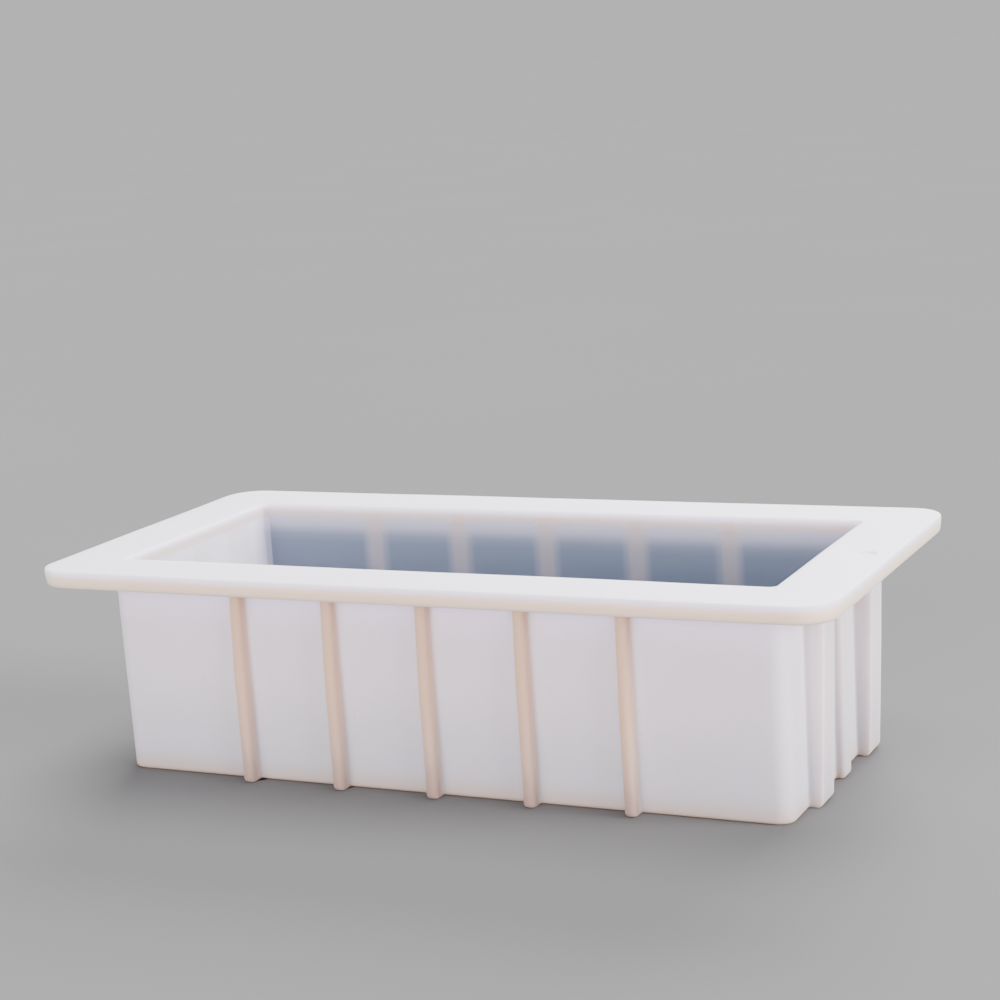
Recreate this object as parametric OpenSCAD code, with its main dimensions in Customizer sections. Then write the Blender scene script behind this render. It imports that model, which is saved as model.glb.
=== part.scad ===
// Loaf mould for soap, candle wax and resin: one silicone moulding with a wide
// flat rim, drafted walls and stiffening ribs outside.
// Millimetres. Origin: centre of the underside. +Z up, X along the length,
// Y across the width (front wall at -Y).

/* [Overall] */
// Height from the table to the top of the rim
mould_h = 79; // [67:1:91]
// Length of the opening at the top
open_l = 249; // [225:1:270]
// Width of the opening at the top
open_w = 98; // [86:1:110]

/* [Rim] */
// Width of the flat rim beyond the opening at both ends
rim_end = 25.5; // [20:0.5:30]
// Width of the flat rim beyond the opening at both sides
rim_side = 24; // [19:0.5:28]
// Thickness of the rim
rim_t = 6.5; // [4:0.5:8]
// Radius of the rim's outer corners
rim_r = 13; // [8:1:18]
// Size of the softened edge all round the rim
rim_edge = 0.9; // [0.3:0.1:1.5]
// Diameter of the shallow moulding mark on the right rim
mark_d = 8; // [5:0.5:11]
// Depth of the moulding mark
mark_depth = 0.4; // [0.2:0.1:0.8]

/* [Tub] */
// Thickness of the long walls
side_t = 5; // [4:0.5:7]
// Thickness of the short walls
end_t = 4.5; // [4:0.5:7]
// Thickness of the floor
floor_t = 5; // [4:0.5:8]
// How far each face leans in from top to bottom
draft = 0.6; // [0:0.1:1.5]
// Radius of the tub's outer upright corners
tub_r = 6; // [3.5:0.5:8]
// Radius of the cavity's upright corners
cavity_r = 2; // [2:0.5:3]
// Size of the softened edge round the underside
foot_edge = 1.2; // [0.4:0.1:2]

/* [Ribs] */
// Distance between neighbouring ribs on the long walls
rib_pitch = 37; // [30:0.5:44]
// Width of the ribs on the long walls
rib_w = 4; // [3:0.5:7]
// How far the ribs stand out at half height
rib_out = 6; // [4:0.5:9]
// How much less the long wall ribs stand out under the rim
rib_top_in = 1.4; // [0:0.1:2.5]
// How much more the outer end ribs stand out under the rim
end_rib_top = 1; // [0:0.1:2]
// How much less the outer end ribs stand out at the table
end_rib_foot = 1.5; // [0:0.1:2]
// Radius of the lower outer corner of a rib
rib_foot_r = 2; // [1:0.5:3]
// Distance of the outer end ribs from the middle of the end wall
end_rib_y = 28; // [22:0.5:34]
// Width of the two outer end ribs
end_rib_w = 12.5; // [8:0.5:16]
// Width of the middle end rib
mid_rib_w = 8; // [5:0.5:11]
// How far the middle end rib stands out
mid_rib_out = 3.2; // [2:0.2:4]

/* [Hidden] */
$fn = 96;
rim_z = mould_h - rim_t;
kink_z = mould_h / 2;
in_x = open_l / 2;
in_y = open_w / 2;
out_x = in_x + end_t;
out_y = in_y + side_t;
lean = draft / mould_h;
end_from = in_x - cavity_r;
big = 400;
translucent = [0.93, 0.92, 0.91];
rim_col = [0.95, 0.94, 0.95];
rib_col = [0.90, 0.86, 0.83];

// ---- shared shapes ------------------------------------------------------

// How far a leaning face stands in from its nominal size at height z. It is
// rounded to a micron, so that faces which meet share the same corners.
function inset(z) = round(lean * (z - mould_h) * 1000) / 1000;

// [offset, z] up the outside of the tub's wall, from the table to the rim.
function wall_side() = [
    [-draft - foot_edge, 0],
    [-draft - foot_edge * 0.3, foot_edge * 0.3],
    [inset(foot_edge), foot_edge],
    [inset(rim_z), rim_z]];

// [offset, z] up the inside, from the floor to a little above the rim.
function cavity_side() = [
    [inset(floor_t), floor_t],
    [inset(mould_h + 5), mould_h + 5]];

// A block with round upright corners. prof lists [offset, z] from the bottom
// up: how far the sides stand out from the nominal a by b at each height.
module soft_block(a, b, r, prof) {
    n = len(prof);
    module side(h) polygon(concat(
        [for (p = prof) [h + p[0], p[1]]],
        [for (i = [n - 1:-1:0]) [-h - prof[i][0], prof[i][1]]]));
    rotate([90, 0, 0]) linear_extrude(2 * (b - r), center = true) side(a);
    rotate([90, 0, 90]) linear_extrude(2 * (a - r), center = true) side(b);
    corners = [[1, 1], [-1, 1], [-1, -1], [1, -1]];
    for (q = [0:3])
        translate([corners[q][0] * (a - r), corners[q][1] * (b - r), 0])
            rotate([0, 0, 90 * q]) rotate_extrude(angle = 90)
                polygon(concat([[0, prof[0][1]]],
                    [for (p = prof) [r + p[0], p[1]]],
                    [[0, prof[n - 1][1]]]));
}

// Everything the outside of the tub encloses, from the table to the rim.
module tub_outside() soft_block(out_x, out_y, tub_r, wall_side());

// The space the soap is poured into, open above the rim.
module cavity() soft_block(in_x, in_y, cavity_r, cavity_side());

// The flat rim before the opening is cut.
module rim_plate() {
    soft_block(in_x + rim_end, in_y + rim_side, rim_r, [
        [-rim_edge * 1.2, rim_z],
        [-rim_edge * 0.2, rim_z + rim_edge],
        [0, mould_h - rim_edge * 0.7],
        [-rim_edge * 0.5, mould_h]]);
}

// The slab between the two leaning planes of the long inner faces. It goes on
// straight down to the table, so that it cuts clean through the floor's level.
module between_sides() {
    side = concat([[inset(floor_t), 0]], cavity_side());
    rotate([90, 0, 90]) linear_extrude(big, center = true)
        polygon([
            for (p = side) [-in_y - p[0], p[1]],
            for (i = [2:-1:0]) [in_y + side[i][0], side[i][1]]]);
}

// A box that keeps what lies beyond `from` on the side dir, between two heights.
module keep(dir, from, z0, z1) {
    translate([dir[0] * (big / 2 + from), dir[1] * (big / 2 + from), (z0 + z1) / 2])
        cube([big, big, z1 - z0], center = true);
}

module side_wall(s) {
    intersection() {
        difference() {
            tub_outside();
            between_sides();
        }
        keep([0, s], 0, floor_t, rim_z);
    }
}

module end_wall(s) {
    intersection() {
        difference() {
            tub_outside();
            cavity();
        }
        between_sides();
        keep([s, 0], end_from, floor_t, rim_z);
    }
}

module side_rim(s) {
    intersection() {
        difference() {
            rim_plate();
            between_sides();
        }
        keep([0, s], 0, rim_z, mould_h);
    }
}

module end_rim(s) {
    intersection() {
        difference() {
            rim_plate();
            cavity();
        }
        between_sides();
        keep([s, 0], end_from, rim_z, mould_h);
    }
}

// An upright rib standing out along +X from a wall whose face at the top
// would be at wall_x. out_top, out_mid and out_foot are its three depths.
module rib(wall_x, w, out_top, out_mid, out_foot) {
    r = min(rib_foot_r, out_foot);
    rotate([90, 0, 0]) linear_extrude(w, center = true)
        polygon(concat(
            [for (p = wall_side()) [wall_x + p[0], p[1]]],
            [[wall_x + inset(rim_z) + out_top, rim_z],
             [wall_x + inset(kink_z) + out_mid, kink_z]],
            [for (a = [0:-15:-90])
                [wall_x + inset(r) + out_foot - r + r * cos(a), r + r * sin(a)]]));
}

module side_rib(s, i) {
    translate([(i - 3) * rib_pitch, 0, 0]) rotate([0, 0, 90 * s])
        rib(out_y, rib_w, rib_out - rib_top_in, rib_out, rib_out);
}

module end_rib(s, k) {
    rotate([0, 0, s > 0 ? 0 : 180]) translate([0, k * end_rib_y * s, 0])
        if (k == 0) rib(out_x, mid_rib_w, mid_rib_out, mid_rib_out, mid_rib_out);
        else rib(out_x, end_rib_w, rib_out + end_rib_top, rib_out, rib_out - end_rib_foot);
}

// ---- the regions of the moulding -------------------------------------------

module floor() {
    color(translucent) intersection() {
        tub_outside();
        keep([0, 0], 0, 0, floor_t);
    }
}

module front_wall() { color(translucent) side_wall(-1); }
module back_wall() { color(translucent) side_wall(1); }
module left_wall() { color(translucent) end_wall(-1); }
module right_wall() { color(translucent) end_wall(1); }

module front_rim() { color(rim_col) side_rim(-1); }
module back_rim() { color(rim_col) side_rim(1); }
module left_rim() { color(rim_col) end_rim(-1); }

module right_rim() {
    color(rim_col) difference() {
        end_rim(1);
        translate([in_x + rim_end * 0.63, 0, mould_h - mark_depth])
            cylinder(d = mark_d, h = mark_depth + 1);
    }
}

module front_rib_1() { color(rib_col) side_rib(-1, 1); }
module front_rib_2() { color(rib_col) side_rib(-1, 2); }
module front_rib_3() { color(rib_col) side_rib(-1, 3); }
module front_rib_4() { color(rib_col) side_rib(-1, 4); }
module front_rib_5() { color(rib_col) side_rib(-1, 5); }

module back_rib_1() { color(rib_col) side_rib(1, 1); }
module back_rib_2() { color(rib_col) side_rib(1, 2); }
module back_rib_3() { color(rib_col) side_rib(1, 3); }
module back_rib_4() { color(rib_col) side_rib(1, 4); }
module back_rib_5() { color(rib_col) side_rib(1, 5); }

module left_rib_front() { color(rib_col) end_rib(-1, -1); }
module left_rib_middle() { color(rib_col) end_rib(-1, 0); }
module left_rib_back() { color(rib_col) end_rib(-1, 1); }
module right_rib_front() { color(rib_col) end_rib(1, -1); }
module right_rib_middle() { color(rib_col) end_rib(1, 0); }
module right_rib_back() { color(rib_col) end_rib(1, 1); }

floor();
front_wall();
back_wall();
left_wall();
right_wall();
front_rim();
back_rim();
left_rim();
right_rim();
front_rib_1();
front_rib_2();
front_rib_3();
front_rib_4();
front_rib_5();
back_rib_1();
back_rib_2();
back_rib_3();
back_rib_4();
back_rib_5();
left_rib_front();
left_rib_middle();
left_rib_back();
right_rib_front();
right_rib_middle();
right_rib_back();
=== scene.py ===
"""The silicone loaf mould: one soft moulded skin, lofted ring by ring around the CAD frame."""

import math

import bmesh
import bpy
from mathutils import Matrix, Vector, noise


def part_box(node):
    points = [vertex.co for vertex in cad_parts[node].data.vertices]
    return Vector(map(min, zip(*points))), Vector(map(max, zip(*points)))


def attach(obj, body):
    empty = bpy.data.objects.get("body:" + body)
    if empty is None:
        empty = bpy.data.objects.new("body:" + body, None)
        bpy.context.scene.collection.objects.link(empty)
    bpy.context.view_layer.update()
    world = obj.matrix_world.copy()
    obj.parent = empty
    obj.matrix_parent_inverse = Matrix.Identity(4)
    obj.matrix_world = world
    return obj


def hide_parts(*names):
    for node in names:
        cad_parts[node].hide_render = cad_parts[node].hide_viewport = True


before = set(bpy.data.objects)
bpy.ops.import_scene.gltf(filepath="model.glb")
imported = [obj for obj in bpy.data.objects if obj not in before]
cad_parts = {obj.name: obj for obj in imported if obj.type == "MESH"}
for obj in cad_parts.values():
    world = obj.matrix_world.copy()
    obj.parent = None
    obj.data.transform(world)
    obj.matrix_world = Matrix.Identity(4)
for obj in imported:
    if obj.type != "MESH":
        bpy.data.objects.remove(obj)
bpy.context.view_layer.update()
NODES = list(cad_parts)
MM = 0.001


def box_mm(node):
    lo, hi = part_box(node)
    return [v / MM for v in lo], [v / MM for v in hi]


# ---- sizes, in millimetres ------------------------------------------------------
# The outlines come from the boxes of the CAD nodes. The corner radii, the draft and
# the ribs' depths, which no box shows, are the same as in the CAD source. The small
# roundings are softer than there, as a moulding's are.

HALF_L = box_mm("right_rim")[1][0]
HALF_W = box_mm("back_rim")[1][1]
TOP = box_mm("front_rim")[1][2]
UNDER = box_mm("front_rim")[0][2]
RIM_R = 13.0
CAVITY_R = 2.0
OPEN_X = box_mm("right_rim")[0][0] + CAVITY_R
OPEN_Y = box_mm("right_rim")[1][1]
FLOOR_Z = box_mm("floor")[1][2]
TUB_X = box_mm("front_wall")[1][0]
TUB_Y = -box_mm("front_wall")[0][1]
TUB_R = 6.0
DRAFT = 0.6
LEAN = DRAFT / TOP
KINK_Z = TOP / 2  # where a rib's outer edge bends

FOOT_R = 1.5  # rounding under the walls
RIB_FOOT_R = 2.4  # rounding at a rib's lower outer corner
RIB_SIDE_R = 0.7  # rounding under a rib's sides
ROOT_R = 1.1  # hollow fillet where a rib meets the wall
TIP_R = 0.6  # rounding along the outer edges of a broad end rib
ROUND_TIP_R = 1.6  # and along those of the other ribs
NECK_R = 0.8  # hollow fillet under the rim
EDGE_IN = 0.45  # how far the rim's edge leans in towards its foot
EDGE_R = 1.7  # rounding under the rim's edge
LIP_R = 0.9  # rounding round the opening
FLOOR_R = 2.0  # hollow fillet round the cavity floor

MARK_X = (HALF_L + OPEN_X) / 2 + 3.0  # the moulding mark on the right rim
MARK_R = 4.0
MARK_SLOPE = 1.6
MARK_DEPTH = 0.5

# each side: outward normal, direction of travel round the mould, and its ribs in that order
SIDES = [
    ((1, 0), (0, 1), ["right_rib_front", "right_rib_middle", "right_rib_back"]),
    ((0, 1), (-1, 0), ["back_rib_%d" % i for i in (5, 4, 3, 2, 1)]),
    ((-1, 0), (0, -1), ["left_rib_back", "left_rib_middle", "left_rib_front"]),
    ((0, -1), (1, 0), ["front_rib_%d" % i for i in (1, 2, 3, 4, 5)]),
]
LONG_SIDES = (1, 3)

# how far a rib stands out under the rim, at the bend and at the table
LONG_RIB = (4.6, 6.0, 6.0)
END_RIB = (7.0, 6.0, 4.5)
MID_RIB = (3.2, 3.2, 3.2)


def rib_of(name):
    """Centre along its side, width and depths of one rib."""
    lo, hi = box_mm(name)
    if name.startswith(("left", "right")):
        centre, width = (lo[1] + hi[1]) / 2, hi[1] - lo[1]
        depths = MID_RIB if name.endswith("middle") else END_RIB
    else:
        centre, width = (lo[0] + hi[0]) / 2, hi[0] - lo[0]
        depths = LONG_RIB
    return centre, width, depths


# ---- the stations round the mould -------------------------------------------------
# Every ring has one point for each station. A station is (kind, k, s, rib, j): kind
# is "side" or "corner", and k is the number of the side. On a side, s is the place
# along it, rib is the rib there or None, and j says which point of the rib's profile
# it is. On a corner, s is the angle turned since side k.

RIB_STEPS = 21
CORNER_STEPS = 9
GAP_STEP = 3.0
MIN_FACE = 0.05  # least straight length between a rib's two roundings


def rib_profile(width, out, tip_r, root_r):
    """RIB_STEPS points (along, outward) over a rib that stands out by out."""
    tip_r = min(tip_r, width * 0.45, out * 0.5)
    root_r = min(root_r, out - tip_r - MIN_FACE)
    half = width / 2
    left = []
    for k in range(4):
        a = math.radians(-90 + 30 * k)
        left.append((-half - root_r + root_r * math.cos(a), root_r + root_r * math.sin(a)))
    left.append((-half, (root_r + out - tip_r) / 2))
    for k in range(4):
        a = math.radians(180 - 30 * k)
        left.append((-half + tip_r + tip_r * math.cos(a), out - tip_r + tip_r * math.sin(a)))
    flat = half - tip_r
    mid = [(-flat / 2, out), (0.0, out), (flat / 2, out)]
    return left + mid + [(-x, y) for x, y in reversed(left)]


def stations():
    out = []
    for k, (n, t, names) in enumerate(SIDES):
        straight = (TUB_Y if n[0] else TUB_X) - TUB_R
        ribs = []
        for name in names:
            centre, width, depths = rib_of(name)
            ribs.append((centre * (t[0] + t[1]), width, depths))
        ribs.sort(key=lambda r: r[0])
        at = -straight
        for c, width, depths in ribs + [(straight, 0, None)]:
            reach = width / 2 + ROOT_R if depths else 0
            span = (c - reach) - at
            steps = max(1, round(span / GAP_STEP))
            first = 0 if at == -straight else 1
            last = steps if depths is None else steps - 1
            for i in range(first, last + 1):
                out.append(("side", k, at + span * i / steps, None, 0))
            if depths:
                for j in range(RIB_STEPS):
                    s = c - reach + 2 * reach * j / (RIB_STEPS - 1)
                    out.append(("side", k, s, (c, width, depths), j))
                at = c + reach
        for i in range(1, CORNER_STEPS):
            out.append(("corner", k, math.radians(90.0 * i / CORNER_STEPS), None, 0))
    return out


STATIONS = stations()
N = len(STATIONS)

# ---- the rings ----------------------------------------------------------------------


def corner_point(k, angle, half_x, half_y, r):
    n = SIDES[k][0]
    base = math.atan2(n[1], n[0])
    sx = 1 if k in (0, 3) else -1
    sy = 1 if k in (0, 1) else -1
    return (sx * (half_x - r) + r * math.cos(base + angle),
            sy * (half_y - r) + r * math.sin(base + angle))


def plain_ring(half_x, half_y, r, z):
    """A rounded rectangle without ribs."""
    pts = []
    for kind, k, s, _, _ in STATIONS:
        if kind == "corner":
            x, y = corner_point(k, s, half_x, half_y, r)
        else:
            n, t, _ = SIDES[k]
            straight = (TUB_Y if n[0] else TUB_X) - TUB_R
            now = (half_y if n[0] else half_x) - r
            d = half_x if n[0] else half_y
            along = s * now / straight
            x, y = n[0] * d + t[0] * along, n[1] * d + t[1] * along
        pts.append((x, y, z))
    return pts


def depth_at(depths, z):
    """How far a rib stands out from the wall at height z, before rounding."""
    top, mid, foot = depths
    if z > KINK_Z:
        return mid + (top - mid) * (z - KINK_Z) / (UNDER - KINK_Z)
    return foot + (mid - foot) * z / KINK_Z


def quarter_in(r, z):
    """How far a rounded lower edge of radius r is drawn in at height z."""
    if z >= r:
        return 0.0
    return r - math.sqrt(max(0.0, r * r - (r - z) ** 2))


def tub_ring(z, grow=0.0):
    """The outside of the tub with its ribs, at height z."""
    off = LEAN * (z - UNDER) - quarter_in(FOOT_R, z) + grow
    half_x, half_y, r = TUB_X + off, TUB_Y + off, max(0.5, TUB_R + off)
    pts = []
    for kind, k, s, rib, j in STATIONS:
        if kind == "corner":
            x, y = corner_point(k, s, half_x, half_y, r)
        else:
            n, t, _ = SIDES[k]
            d = half_x if n[0] else half_y
            along, out = s, 0.0
            if rib:
                c, width, depths = rib
                foot_r = min(RIB_FOOT_R, depths[2] * 0.6)
                tip = depth_at(depths, z) - quarter_in(foot_r, z) + quarter_in(FOOT_R, z)
                w = width - 2 * quarter_in(RIB_SIDE_R, z) + 2 * grow
                tip_r = TIP_R if depths == END_RIB else ROUND_TIP_R
                root_r = max(0.08, ROOT_R - grow)
                a, out = rib_profile(w, tip, tip_r, root_r)[j]
                along = c + a
            x, y = n[0] * (d + out) + t[0] * along, n[1] * (d + out) + t[1] * along
        pts.append((x, y, z))
    return pts


def blend_rings(a, b, f):
    return [tuple(p + (q - p) * f for p, q in zip(u, v)) for u, v in zip(a, b)]


CENTRE_SHARES = (0.25, 0.55, 0.85)  # rings across the underside and the cavity floor
CENTRE_SLIM = 0.98  # how much those rings are slimmed across the width
QUARTER = [math.radians(a) for a in (22, 45, 67, 90)]

# ring heights up the outer wall: close at the foot's rounding and at the ribs' bend
WALL_HEIGHTS = (0.0, 0.06, 0.25, 0.6, 1.0, 1.5, 2.0, 2.4, 4, 8, 14, 21, 28, 34,
                KINK_Z - 2.0, KINK_Z - 0.5, KINK_Z + 1.0,
                44, 50, 57, 64, 69, UNDER - NECK_R)

# (how far in, height) up the rim's edge, with a fine moulding line near the top
LINE_Z = TOP - 0.44
EDGE_PROFILE = ((0.25, UNDER + 2.9), (0.12, UNDER + 4.0), (0.05, UNDER + 5.2),
                (0.03, TOP - 0.66), (0.05, TOP - 0.56), (0.26, LINE_Z), (0.16, TOP - 0.32),
                (0.22, TOP - 0.16), (0.42, TOP - 0.04), (0.7, TOP))

# shares of the way in over the rim's top, close where the moulding mark is
TOP_SHARES = ([0.06, 0.14, 0.2] + [0.22 + 0.02 * i for i in range(16)]
              + [0.6, 0.72, 0.84, 0.94])

# ring heights down the inner wall, close under the lip where the painted light and shade change
INSIDE_HEIGHTS = (76, 74.5, 73, 71, 69, 67, 64, 60, 55, 50, 43, 36, 29, 22, 16, 11,
                  FLOOR_Z + FLOOR_R)


def rings():
    """Every ring from the underside out, up, over the rim and down inside, with its region."""
    out = []
    regions = []

    def region(name):
        regions.extend([name] * (len(out) - len(regions)))

    def rim_ring(back, z):
        return plain_ring(HALF_L - back, HALF_W - back, RIM_R - back, z)

    def open_ring(off, z, least_r=0.0):
        return plain_ring(OPEN_X + off, OPEN_Y + off, max(least_r, CAVITY_R + off), z)

    for f in CENTRE_SHARES:
        out.append(plain_ring(TUB_X * f, TUB_Y * f * CENTRE_SLIM, TUB_R * f, 0.0))
    region("underside")

    for z in WALL_HEIGHTS:
        out.append(tub_ring(z))
    for a in (30, 60, 90):
        a = math.radians(a)
        out.append(tub_ring(UNDER - NECK_R * (1 - math.sin(a)), NECK_R * (1 - math.cos(a))))
    region("wall")

    neck = out[-1]
    edge_foot = rim_ring(EDGE_IN + EDGE_R, UNDER)
    for f in (0.3, 0.65):
        out.append(blend_rings(neck, edge_foot, f))
    out.append(edge_foot)
    region("rim_under")

    for a in QUARTER:
        out.append(rim_ring(EDGE_IN + EDGE_R * (1 - math.sin(a)),
                            UNDER + EDGE_R * (1 - math.cos(a))))
    for back, z in EDGE_PROFILE:
        out.append(rim_ring(back, z))
    region("rim_edge")

    outer = out[-1]
    lip = open_ring(LIP_R, TOP)
    for f in TOP_SHARES:
        out.append(blend_rings(outer, lip, f))
    out.append(lip)
    for a in QUARTER:
        out.append(open_ring(LIP_R * (1 - math.sin(a)), TOP - LIP_R * (1 - math.cos(a))))
    region("rim_top")

    for z in INSIDE_HEIGHTS:
        out.append(open_ring(LEAN * (z - TOP), z))
    for a in QUARTER:
        out.append(open_ring(-DRAFT - FLOOR_R * (1 - math.cos(a)),
                             FLOOR_Z + FLOOR_R * (1 - math.sin(a)), 0.6))
    for f in reversed(CENTRE_SHARES):
        out.append(plain_ring(OPEN_X * f, OPEN_Y * f * CENTRE_SLIM, 3.0 * f, FLOOR_Z))
    region("inside")
    return out, regions


UNEVEN = 0.22  # scale of the unevenness, which grows towards the rim


def settle(p):
    """Gentle unevenness of a soft moulding, and the shallow moulding mark."""
    x, y, z = p
    v = Vector((x * 0.012, y * 0.016, z * 0.02))
    high = min(1.0, max(0.0, z / UNDER))
    side = UNEVEN * high
    x += side * noise.noise(v + Vector((3.1, 0, 0))) * 1.0
    y += side * noise.noise(v + Vector((0, 7.7, 0))) * 1.4
    if z > 10:
        z += UNEVEN * noise.noise(Vector((x * 0.014, y * 0.018, 5.0))) * high
    if p[2] > TOP - 0.01:
        from_mark = math.hypot(p[0] - MARK_X, p[1])
        z -= MARK_DEPTH * (1 - ramp(from_mark, MARK_R - MARK_SLOPE, MARK_R))
    return (x, y, z)


# ---- where the silicone's tint changes, and where light and shade are painted into it ---


def ramp(value, start, end):
    """0 at start, 1 at end, smooth between."""
    t = max(0.0, min(1.0, (value - start) / (end - start)))
    return t * t * (3 - 2 * t)


def mix(a, b, share):
    return a + (b - a) * share


RIB_CENTRES = [(k,) + rib_of(name)[:2] for k, (_, _, names) in enumerate(SIDES) for name in names]
BAND_BLUR = 1.6


def rib_band_painted_light(k, x, y):
    """Painted light: 1 on the inner wall right behind a rib of side k, fading to 0 beside it; it
    lightens the tint and lessens the painted shade there.
    """
    along = x if k in LONG_SIDES else y
    best = 0.0
    for side, centre, width in RIB_CENTRES:
        if side == k:
            d = max(0.0, abs(along - centre) - width / 2)
            best = max(best, math.exp(-(d / BAND_BLUR) ** 2))
    return best


# places on the tint ramp, kept in a float attribute of the skin; besides the silicone's own tints
# the ramp holds painted light: its first stop is a painted glow and its last a darker foot tint that
# is partly painted shade
PAINTED_GLOW, BLUISH, THIN, THICK, WARM_FOOT_AND_SHADE = 0.0, 0.2, 0.4, 0.88, 1.0
# painted glow under the rim's overhang, where it would be in shade
RIM_UNDER_PAINTED_GLOW = 0.04
UNDERSIDE = 0.6
END_RIB_FACE = 0.47
INNER_WALL = 0.3
ROOT_SHARES = (0.0, 0.2, 0.5, 0.8)  # from the wall on to a rib's side


def wall_warmth(k, rib, j, z):
    """Paler just under the rim, which is painted light; warmer at the foot, where painted shade
    darkens it; warmest on the ribs of the long sides.
    """
    # painted light: paler just under the rim
    tint = THIN - 0.14 * ramp(z, UNDER - 18.0, UNDER - 1.0)
    # warmer and darker towards the foot: the warmth is the thick base's own, the darkening painted
    # shade
    tint += 0.3 * ramp(z, 9.0, 1.0) + 0.25 * ramp(z, 2.5, 0.0)
    if not rib:
        return tint
    root = min(j, RIB_STEPS - 1 - j)
    share = ROOT_SHARES[root] if root < len(ROOT_SHARES) else 1.0
    face = THICK if k in LONG_SIDES else END_RIB_FACE
    # the ribs too turn to the darker foot tint low down, partly painted shade
    return max(tint, mix(THIN, face, share) + 0.12 * share * ramp(z, 18.0, 0.0))


def warmth(region, station, p):
    """Where a point of the skin lies on the tint ramp, whose stops hold the silicone's own tints as
    well as painted glow, painted light and painted shade.
    """
    kind, k, _, rib, j = station
    x, y, z = p
    if region == "rim_top":
        return BLUISH
    # painted glow, growing down the rim's edge towards its foot
    if region == "rim_edge":
        return mix(BLUISH, PAINTED_GLOW, ramp(z, TOP - 0.8, UNDER + 3.2))
    # painted glow on the underside of the rim
    if region == "rim_under":
        return RIM_UNDER_PAINTED_GLOW
    if region == "underside":
        return UNDERSIDE
    if region == "wall":
        return wall_warmth(k, rib, j, z)
    # painted light: lighter, warmer bands behind the ribs
    painted_light_band = rib_band_painted_light(k, x, y) if kind == "side" else 0.0
    # painted light: a lighter, warmer band on the inner wall just under the lip
    painted_light_under_lip = BLUISH + 0.44 * math.exp(-((z - (TOP - 3.6)) / 1.8) ** 2)
    return max(INNER_WALL + (0.34 if k in LONG_SIDES else 0.1) * painted_light_band, painted_light_under_lip)


def thinness(region, station, p):
    """How much painted shade darkens a point, up to 1 low on the inner long walls.

    It stands in for the dimness of the cavity and of the space behind the thin walls. The rim has
    none of it, apart from painted shade in the fine moulding groove round its edge.
    """
    kind, k, _, rib, _ = station
    x, y, z = p
    # painted shade in the fine moulding groove round the rim's edge
    if region == "rim_edge":
        return 0.16 if abs(z - LINE_Z) < 0.05 else 0.0
    # painted shade: the lower outer walls darker, the ribs more so
    if region == "wall":
        return (0.36 if rib else 0.24) * ramp(z, 44.0, 1.0)
    if region != "inside":
        return 0.0
    # painted shade: darker down the inner walls, less behind the ribs, on the end walls and in the
    # corners
    depth = 0.45 * ramp(z, TOP - 3.0, TOP - 6.0) + 0.55 * ramp(z, TOP - 5.0, TOP - 14.0)
    if kind == "side" and k in LONG_SIDES:
        return depth * (1 - 0.36 * rib_band_painted_light(k, x, y))
    corner = 0.6 if kind == "corner" else 0.6 * math.exp(-(OPEN_Y - abs(y)) / 7.0)
    return depth * max(0.12, corner)


def build_mould():
    bm = bmesh.new()
    warmth_and_light_layer = bm.verts.layers.float.new("warmth")
    painted_shade_layer = bm.verts.layers.float.new("thinness")
    grid = []
    for loop, region in zip(*rings()):
        row = []
        for station, p in zip(STATIONS, loop):
            v = bm.verts.new([c * MM for c in settle(p)])
            v[warmth_and_light_layer] = warmth(region, station, p)
            v[painted_shade_layer] = thinness(region, station, p)
            row.append(v)
        grid.append(row)
    for a, b in zip(grid, grid[1:]):
        for i in range(N):
            j = (i + 1) % N
            bm.faces.new((a[i], a[j], b[j], b[i]))
    bm.faces.new(list(reversed(grid[0])))
    bm.faces.new(grid[-1])
    bmesh.ops.remove_doubles(bm, verts=bm.verts, dist=1e-7)
    bmesh.ops.recalc_face_normals(bm, faces=bm.faces)
    for f in bm.faces:
        f.smooth = True
    me = bpy.data.meshes.new("mould")
    bm.to_mesh(me)
    bm.free()
    ob = bpy.data.objects.new("mould", me)
    bpy.context.scene.collection.objects.link(ob)
    return ob


# ---- materials ----------------------------------------------------------------------------

# painted glow: a bright warm tint standing in for light that comes through the rim, on the lower
# part of its edge and under it
PAINTED_GLOW_TINT = (1.0, 0.71, 0.58, 1)
RIM_TINT = (0.85, 0.78, 0.98, 1)
WALL_TINT = (0.73, 0.68, 0.745, 1)
THICK_TINT = (0.68, 0.455, 0.34, 1)
# the darkest, warmest stop, reached at the foot: partly the thick base's own warmth, partly painted
# shade
WARM_FOOT_AND_SHADE_TINT = (0.48, 0.275, 0.19, 1)
# painted shade: the dark bluish colour mixed in deep in the cavity, low on the outer walls and in
# the rim's moulding groove
PAINTED_SHADE_TINT = (0.20, 0.235, 0.305, 1)
SPECK_TINT = (0.36, 0.33, 0.33, 1)
TINT_DRIFT = 0.07  # cloudiness of the tint
SPECK_SIZE = 0.016
SPECK_STRENGTH = 0.7
ROUGHNESS = (0.48, 0.60)
SCATTER = 0.006  # metres
SCATTER_RADIUS = (1.0, 0.8, 0.7)
FLOOR_SHADES = ((0.170, 0.170, 0.172, 1), (0.184, 0.184, 0.186, 1))


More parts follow.
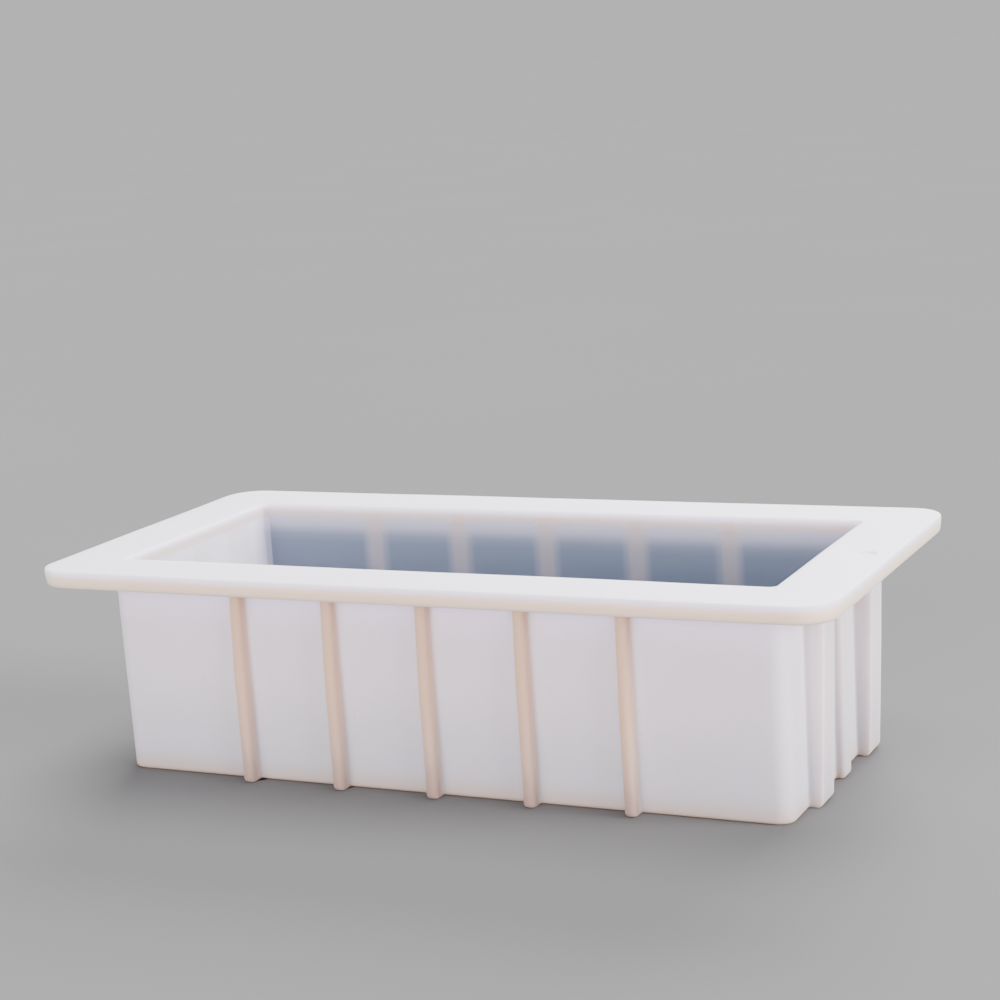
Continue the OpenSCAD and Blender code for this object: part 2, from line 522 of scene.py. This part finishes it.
class Nodes:
    """A short way to add nodes and link them."""

    def __init__(self, name):
        self.mat = bpy.data.materials.new(name)
        self.mat.use_nodes = True
        self.tree = self.mat.node_tree
        self.bsdf = self.tree.nodes["Principled BSDF"]

    def add(self, kind, **values):
        """A node with its settings (names that start with _) and input values."""
        n = self.tree.nodes.new(kind)
        for key, value in values.items():
            if key.startswith("_"):
                setattr(n, key[1:], value)
            else:
                n.inputs[key.replace("_", " ")].default_value = value
        return n

    def maths(self, operation, a, out, value):
        """operation on an output and a value."""
        n = self.add("ShaderNodeMath", _operation=operation)
        self.link(a, out, n, 0)
        n.inputs[1].default_value = value
        return n

    def colour_mix(self, base, out, tint, share, share_out):
        """base tinted by a fixed colour, as much as share says."""
        n = self.add("ShaderNodeMix", _data_type="RGBA")
        n.inputs[7].default_value = tint
        self.link(share, share_out, n, 0)
        self.link(base, out, n, 6)
        return n

    def link(self, a, out, b, inp):
        self.tree.links.new(a.outputs[out], b.inputs[inp])


def silicone():
    m = Nodes("milky_silicone")
    b = m.bsdf
    coords = m.add("ShaderNodeTexCoord")
    warm = m.add("ShaderNodeAttribute", _attribute_name="warmth")
    thin = m.add("ShaderNodeAttribute", _attribute_name="thinness")
    cloud = m.add("ShaderNodeTexNoise", Scale=14.0, Detail=3.0, Roughness=0.55)
    m.link(coords, "Object", cloud, "Vector")

    # the tint ramp, a little cloudy; its glow stop is painted light and its foot stop partly painted
    # shade
    drift = m.maths("MULTIPLY_ADD", cloud, "Fac", TINT_DRIFT)
    m.link(warm, "Fac", drift, 2)
    shift = m.maths("SUBTRACT", drift, 0, TINT_DRIFT / 2)
    tint = m.add("ShaderNodeValToRGB")
    stops = tint.color_ramp.elements
    stops[0].position, stops[0].color = PAINTED_GLOW, PAINTED_GLOW_TINT
    stops[1].position, stops[1].color = WARM_FOOT_AND_SHADE, WARM_FOOT_AND_SHADE_TINT
    stops.new(BLUISH).color = RIM_TINT
    stops.new(THIN).color = WALL_TINT
    stops.new(THICK).color = THICK_TINT
    m.link(shift, 0, tint, "Fac")

    # painted shade for the dim cavity and the dim space behind the thin walls, and a few specks
    painted_shade_mix = m.colour_mix(tint, "Color", PAINTED_SHADE_TINT, thin, "Fac")
    grains = m.add("ShaderNodeTexVoronoi", Scale=58.0)
    m.link(coords, "Object", grains, "Vector")
    near = m.maths("LESS_THAN", grains, "Distance", SPECK_SIZE)
    few = m.maths("MULTIPLY", near, 0, SPECK_STRENGTH)
    speck = m.colour_mix(painted_shade_mix, 2, SPECK_TINT, few, 0)
    m.link(speck, 2, b, "Base Color")

    # a satin surface with a very fine grain
    fine = m.add("ShaderNodeTexNoise", Scale=900.0, Detail=4.0, Roughness=0.6)
    m.link(coords, "Object", fine, "Vector")
    rough = m.add("ShaderNodeMapRange")
    rough.inputs["To Min"].default_value, rough.inputs["To Max"].default_value = ROUGHNESS
    m.link(cloud, "Fac", rough, "Value")
    m.link(rough, "Result", b, "Roughness")
    bump = m.add("ShaderNodeBump", Strength=0.06, Distance=0.0004)
    m.link(fine, "Fac", bump, "Height")
    m.link(bump, "Normal", b, "Normal")

    b.inputs["Subsurface Weight"].default_value = 1.0
    b.inputs["Subsurface Radius"].default_value = SCATTER_RADIUS
    b.inputs["Subsurface Scale"].default_value = SCATTER
    b.inputs["Subsurface Anisotropy"].default_value = 0.3
    b.inputs["IOR"].default_value = 1.41
    b.inputs["Specular IOR Level"].default_value = 0.22
    return m.mat


def floor_material():
    m = Nodes("studio_floor")
    coords = m.add("ShaderNodeTexCoord")
    n = m.add("ShaderNodeTexNoise", Scale=3.0, Detail=2.0)
    m.link(coords, "Object", n, "Vector")
    shade = m.add("ShaderNodeValToRGB")
    for stop, colour in zip(shade.color_ramp.elements, FLOOR_SHADES):
        stop.color = colour
    m.link(n, "Fac", shade, "Fac")
    m.link(shade, "Color", m.bsdf, "Base Color")
    m.bsdf.inputs["Roughness"].default_value = 1.0
    m.bsdf.inputs["Specular IOR Level"].default_value = 0.0
    return m.mat


# ---- the piece ----------------------------------------------------------------------------

mould = build_mould()
mould.data.materials.append(silicone())
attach(mould, "root")
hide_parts(*NODES)

# ---- floor and light ------------------------------------------------------------------------

FLOOR_REACH = 40.0  # metres
FLOOR_STEPS = 72
AIR_COLOUR = (0.81, 0.81, 0.82, 1)
AIR_STRENGTH = 0.75

ROUND = [2 * math.pi * i / FLOOR_STEPS for i in range(FLOOR_STEPS)]
me = bpy.data.meshes.new("floor_plane")
me.from_pydata([(FLOOR_REACH * math.cos(a), FLOOR_REACH * math.sin(a), 0) for a in ROUND], [],
               [list(range(FLOOR_STEPS))])
floor = bpy.data.objects.new("studio_floor", me)
bpy.context.scene.collection.objects.link(floor)
floor.data.materials.append(floor_material())

world = bpy.data.worlds.new("studio")
bpy.context.scene.world = world
world.use_nodes = True
air = world.node_tree.nodes["Background"]
air.inputs["Color"].default_value = AIR_COLOUR
air.inputs["Strength"].default_value = AIR_STRENGTH


def soft_sun(name, azimuth, elevation, spread, strength):
    """A broad even light from azimuth (0 = +X, 90 = +Y) and elevation, in degrees."""
    data = bpy.data.lights.new(name, "SUN")
    data.angle = math.radians(spread)
    data.energy = strength
    ob = bpy.data.objects.new(name, data)
    a, e = math.radians(azimuth), math.radians(elevation)
    to_light = Vector((math.cos(a) * math.cos(e), math.sin(a) * math.cos(e), math.sin(e)))
    ob.rotation_euler = to_light.to_track_quat("Z", "Y").to_euler()
    ob.location = to_light * 2
    bpy.context.scene.collection.objects.link(ob)


soft_sun("front", 270, 10, 26, 3.85)
soft_sun("front_right", 338, 8, 20, 1.6)
soft_sun("right", 5, 20, 30, 5.4)
soft_sun("back_top", 95, 28, 40, 7.5)
soft_sun("overhead", 95, 80, 45, 2.8)

# ---- camera -----------------------------------------------------------------------------------

CAM_AT = Vector((0.35156, -0.71127, 0.25177))
YAW, PITCH, ROLL = 0.4529, 0.197, -0.06774
FOCAL = 2.24211  # in picture widths
SENSOR = 36

ahead = Vector((-math.sin(YAW) * math.cos(PITCH), math.cos(YAW) * math.cos(PITCH), -math.sin(PITCH)))
level = Vector((math.cos(YAW), math.sin(YAW), 0))
upright = level.cross(ahead)
right = level * math.cos(ROLL) + upright * math.sin(ROLL)
up = upright * math.cos(ROLL) - level * math.sin(ROLL)
cam = bpy.data.cameras.new("camera")
cam.sensor_width = SENSOR
cam.lens = SENSOR * FOCAL
cam.clip_start = 0.01
cam_ob = bpy.data.objects.new("camera", cam)
cam_ob.matrix_world = Matrix.Translation(CAM_AT) @ Matrix((right, up, -ahead)).transposed().to_4x4()
bpy.context.scene.collection.objects.link(cam_ob)
bpy.context.scene.camera = cam_ob
